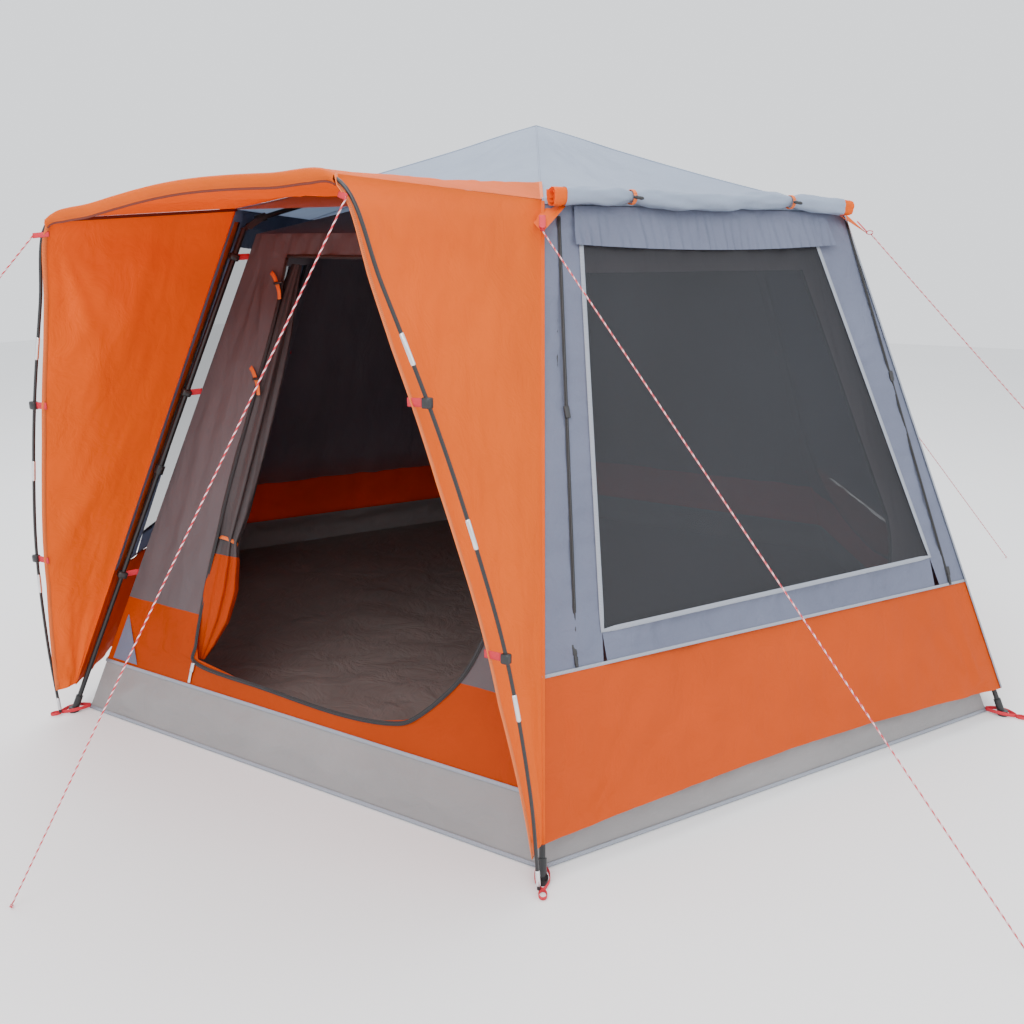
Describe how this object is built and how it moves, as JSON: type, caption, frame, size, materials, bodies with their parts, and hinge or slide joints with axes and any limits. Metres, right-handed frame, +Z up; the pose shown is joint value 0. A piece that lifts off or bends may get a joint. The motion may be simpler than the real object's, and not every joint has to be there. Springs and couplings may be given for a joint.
{
  "type": "pop up tent",
  "caption": "Six-sided pop up cabin tent with folding hub frame, mesh side windows, groundsheet and a hooped front awning on guy lines.",
  "frame": {"origin": "centre of the groundsheet's underside, on the ground below the hub", "axes": "+Z up, -Y out of the doorway under the awning, +X to the right-hand side seen from in front of the door"},
  "size_m": [4.542, 4.421, 1.976],
  "materials": {
    "fly_light_grey": "satin coated polyester",
    "fly_grey": "coated polyester",
    "fabric_orange": "coated polyester",
    "inner_grey": "thin breathable polyester",
    "groundsheet_grey": "matt coated polyethylene cloth",
    "mesh_dark": "fine no-see-um mesh",
    "webbing_red": "woven webbing",
    "cord_red": "braided cord with pale flecks",
    "pole_black": "satin black",
    "tube_silver": "satin",
    "steel_pin": "plain",
    "plastic_black": "fine texture"
  },
  "bodies": {
    "tent": {"groundsheet": "groundsheet_grey", "inner_front_wall": "inner_grey", "inner_walls": "inner_grey", "inner_roof": "inner_grey", "door_panel": "fabric_orange", "roof_fly": "fly_light_grey", "fly_window_walls": "fly_grey", "fly_back_walls": "fly_grey", "window_meshes": "mesh_dark", "cover_rolls": "fly_grey", "corner_gussets": "fabric_orange", "awning_wings": "fabric_orange", "awning_canopy": "fabric_orange", "hoop_pole": "pole_black", "hoop_ferrules": "tube_silver", "webbing_loops": "webbing_red", "guy_awning_left": "cord_red", "guy_awning_right": "cord_red", "guy_front_right": "cord_red", "guy_right": "cord_red", "guy_back_right": "cord_red", "guy_knots": "cord_red"},
    "hub": {"hub_body": "plastic_black", "hub_pins": "steel_pin"},
    "rib_1": {"rib_1": "pole_black", "knuckle_1": "plastic_black"},
    "upper_leg_1": {"upper_leg_1": "pole_black"},
    "lower_leg_1": {"lower_leg_1": "pole_black"},
    "lock_button_1": {"lock_button_1": "plastic_black"},
    "rib_2": {"rib_2": "pole_black", "knuckle_2": "plastic_black"},
    "upper_leg_2": {"upper_leg_2": "pole_black"},
    "lower_leg_2": {"lower_leg_2": "pole_black"},
    "lock_button_2": {"lock_button_2": "plastic_black"},
    "rib_3": {"rib_3": "pole_black", "knuckle_3": "plastic_black"},
    "upper_leg_3": {"upper_leg_3": "pole_black"},
    "lower_leg_3": {"lower_leg_3": "pole_black"},
    "lock_button_3": {"lock_button_3": "plastic_black"},
    "rib_4": {"rib_4": "pole_black", "knuckle_4": "plastic_black"},
    "upper_leg_4": {"upper_leg_4": "pole_black"},
    "lower_leg_4": {"lower_leg_4": "pole_black"},
    "lock_button_4": {"lock_button_4": "plastic_black"},
    "rib_5": {"rib_5": "pole_black", "knuckle_5": "plastic_black"},
    "upper_leg_5": {"upper_leg_5": "pole_black"},
    "lower_leg_5": {"lower_leg_5": "pole_black"},
    "lock_button_5": {"lock_button_5": "plastic_black"},
    "rib_6": {"rib_6": "pole_black", "knuckle_6": "plastic_black"},
    "upper_leg_6": {"upper_leg_6": "pole_black"},
    "lower_leg_6": {"lower_leg_6": "pole_black"},
    "lock_button_6": {"lock_button_6": "plastic_black"},
    "right_zip_slider_front": {"right_zip_slider_front": "plastic_black"},
    "right_zip_slider_back": {"right_zip_slider_back": "plastic_black"},
    "left_zip_slider_front": {"left_zip_slider_front": "plastic_black"},
    "left_zip_slider_back": {"left_zip_slider_back": "plastic_black"},
    "door_zip_slider": {"door_zip_slider": "plastic_black"}
  },
  "joints": [
    {"name": "hub_drop", "type": "slide", "parent": "tent", "child": "hub", "axis": [0, 0, -1], "range_m": [0, 1.725], "deforming": ["groundsheet", "inner_front_wall", "inner_walls", "inner_roof", "door_panel", "roof_fly", "fly_window_walls", "fly_back_walls", "window_meshes", "cover_rolls", "corner_gussets", "awning_wings", "awning_canopy", "hoop_pole", "hoop_ferrules", "webbing_loops", "guy_awning_left", "guy_awning_right", "guy_front_right", "guy_right", "guy_back_right", "guy_knots"]},
    {"name": "rib_hinge_1", "type": "hinge", "parent": "hub", "child": "rib_1", "pos_m": [-0.031, -0.05369, 1.925], "axis": [0.866, -0.5, 0], "range_deg": [-15.5, 0]},
    {"name": "elbow_1", "type": "hinge", "parent": "rib_1", "child": "upper_leg_1", "pos_m": [-0.55589, -0.96283, 1.60042], "axis": [0.866, -0.5, 0], "range_deg": [0, 128.2]},
    {"name": "leg_telescope_1", "type": "slide", "parent": "upper_leg_1", "child": "lower_leg_1", "axis": [0.2001, 0.3466, 0.9164], "range_m": [0, 0.786]},
    {"name": "button_press_1", "type": "slide", "parent": "upper_leg_1", "child": "lock_button_1", "axis": [-0.866, 0.5, 0], "range_m": [0, 0.003], "stiffness_N_per_m": 600},
    {"name": "rib_hinge_2", "type": "hinge", "parent": "hub", "child": "rib_2", "pos_m": [0.031, -0.05369, 1.925], "axis": [0.866, 0.5, 0], "range_deg": [-15.5, 0]},
    {"name": "elbow_2", "type": "hinge", "parent": "rib_2", "child": "upper_leg_2", "pos_m": [0.55589, -0.96283, 1.60042], "axis": [0.866, 0.5, 0], "range_deg": [0, 128.2]},
    {"name": "leg_telescope_2", "type": "slide", "parent": "upper_leg_2", "child": "lower_leg_2", "axis": [-0.2001, 0.3466, 0.9164], "range_m": [0, 0.786]},
    {"name": "button_press_2", "type": "slide", "parent": "upper_leg_2", "child": "lock_button_2", "axis": [-0.866, -0.5, 0], "range_m": [0, 0.003], "stiffness_N_per_m": 600},
    {"name": "rib_hinge_3", "type": "hinge", "parent": "hub", "child": "rib_3", "pos_m": [0.062, 0, 1.925], "axis": [0, 1, 0], "range_deg": [-15.5, 0]},
    {"name": "elbow_3", "type": "hinge", "parent": "rib_3", "child": "upper_leg_3", "pos_m": [1.11178, 0, 1.60042], "axis": [0, 1, 0], "range_deg": [0, 128.2]},
    {"name": "leg_telescope_3", "type": "slide", "parent": "upper_leg_3", "child": "lower_leg_3", "axis": [-0.4002, 0, 0.9164], "range_m": [0, 0.786]},
    {"name": "button_press_3", "type": "slide", "parent": "upper_leg_3", "child": "lock_button_3", "axis": [0, -1, 0], "range_m": [0, 0.003], "stiffness_N_per_m": 600},
    {"name": "rib_hinge_4", "type": "hinge", "parent": "hub", "child": "rib_4", "pos_m": [0.031, 0.05369, 1.925], "axis": [-0.866, 0.5, 0], "range_deg": [-15.5, 0]},
    {"name": "elbow_4", "type": "hinge", "parent": "rib_4", "child": "upper_leg_4", "pos_m": [0.55589, 0.96283, 1.60042], "axis": [-0.866, 0.5, 0], "range_deg": [0, 128.2]},
    {"name": "leg_telescope_4", "type": "slide", "parent": "upper_leg_4", "child": "lower_leg_4", "axis": [-0.2001, -0.3466, 0.9164], "range_m": [0, 0.786]},
    {"name": "button_press_4", "type": "slide", "parent": "upper_leg_4", "child": "lock_button_4", "axis": [0.866, -0.5, 0], "range_m": [0, 0.003], "stiffness_N_per_m": 600},
    {"name": "rib_hinge_5", "type": "hinge", "parent": "hub", "child": "rib_5", "pos_m": [-0.031, 0.05369, 1.925], "axis": [-0.866, -0.5, 0], "range_deg": [-15.5, 0]},
    {"name": "elbow_5", "type": "hinge", "parent": "rib_5", "child": "upper_leg_5", "pos_m": [-0.55589, 0.96283, 1.60042], "axis": [-0.866, -0.5, 0], "range_deg": [0, 128.2]},
    {"name": "leg_telescope_5", "type": "slide", "parent": "upper_leg_5", "child": "lower_leg_5", "axis": [0.2001, -0.3466, 0.9164], "range_m": [0, 0.786]},
    {"name": "button_press_5", "type": "slide", "parent": "upper_leg_5", "child": "lock_button_5", "axis": [0.866, 0.5, 0], "range_m": [0, 0.003], "stiffness_N_per_m": 600},
    {"name": "rib_hinge_6", "type": "hinge", "parent": "hub", "child": "rib_6", "pos_m": [-0.062, 0, 1.925], "axis": [0, -1, 0], "range_deg": [-15.5, 0]},
    {"name": "elbow_6", "type": "hinge", "parent": "rib_6", "child": "upper_leg_6", "pos_m": [-1.11178, 0, 1.60042], "axis": [0, -1, 0], "range_deg": [0, 128.2]},
    {"name": "leg_telescope_6", "type": "slide", "parent": "upper_leg_6", "child": "lower_leg_6", "axis": [0.4002, 0, 0.9164], "range_m": [0, 0.786]},
    {"name": "button_press_6", "type": "slide", "parent": "upper_leg_6", "child": "lock_button_6", "axis": [0, 1, 0], "range_m": [0, 0.003], "stiffness_N_per_m": 600},
    {"name": "right_zip_slider_front_run", "type": "slide", "parent": "tent", "child": "right_zip_slider_front", "axis": [-0.2199, 0.298, 0.9289], "range_m": [0, 1.09]},
    {"name": "right_zip_slider_back_run", "type": "slide", "parent": "tent", "child": "right_zip_slider_back", "axis": [-0.368, 0.0414, 0.9289], "range_m": [0, 1.09]},
    {"name": "left_zip_slider_front_run", "type": "slide", "parent": "tent", "child": "left_zip_slider_front", "axis": [0.2199, 0.298, 0.9289], "range_m": [0, 1.09]},
    {"name": "left_zip_slider_back_run", "type": "slide", "parent": "tent", "child": "left_zip_slider_back", "axis": [0.368, 0.0414, 0.9289], "range_m": [0, 1.09]},
    {"name": "door_zip_slider_run", "type": "slide", "parent": "tent", "child": "door_zip_slider", "axis": [1, 0, 0], "range_m": [0, 0.55]}
  ],
  "couplings": [
    {"joint": "rib_hinge_1", "follows": "hub_drop", "rad_per_m": -0.15541},
    {"joint": "elbow_1", "follows": "hub_drop", "rad_per_m": 1.2951},
    {"joint": "leg_telescope_1", "follows": "hub_drop", "ratio": 0.45507},
    {"joint": "rib_hinge_2", "follows": "hub_drop", "rad_per_m": -0.15541},
    {"joint": "elbow_2", "follows": "hub_drop", "rad_per_m": 1.2951},
    {"joint": "leg_telescope_2", "follows": "hub_drop", "ratio": 0.45507},
    {"joint": "rib_hinge_3", "follows": "hub_drop", "rad_per_m": -0.15541},
    {"joint": "elbow_3", "follows": "hub_drop", "rad_per_m": 1.2951},
    {"joint": "leg_telescope_3", "follows": "hub_drop", "ratio": 0.45507},
    {"joint": "rib_hinge_4", "follows": "hub_drop", "rad_per_m": -0.15541},
    {"joint": "elbow_4", "follows": "hub_drop", "rad_per_m": 1.2951},
    {"joint": "leg_telescope_4", "follows": "hub_drop", "ratio": 0.45507},
    {"joint": "rib_hinge_5", "follows": "hub_drop", "rad_per_m": -0.15541},
    {"joint": "elbow_5", "follows": "hub_drop", "rad_per_m": 1.2951},
    {"joint": "leg_telescope_5", "follows": "hub_drop", "ratio": 0.45507},
    {"joint": "rib_hinge_6", "follows": "hub_drop", "rad_per_m": -0.15541},
    {"joint": "elbow_6", "follows": "hub_drop", "rad_per_m": 1.2951},
    {"joint": "leg_telescope_6", "follows": "hub_drop", "ratio": 0.45507}
  ]
}
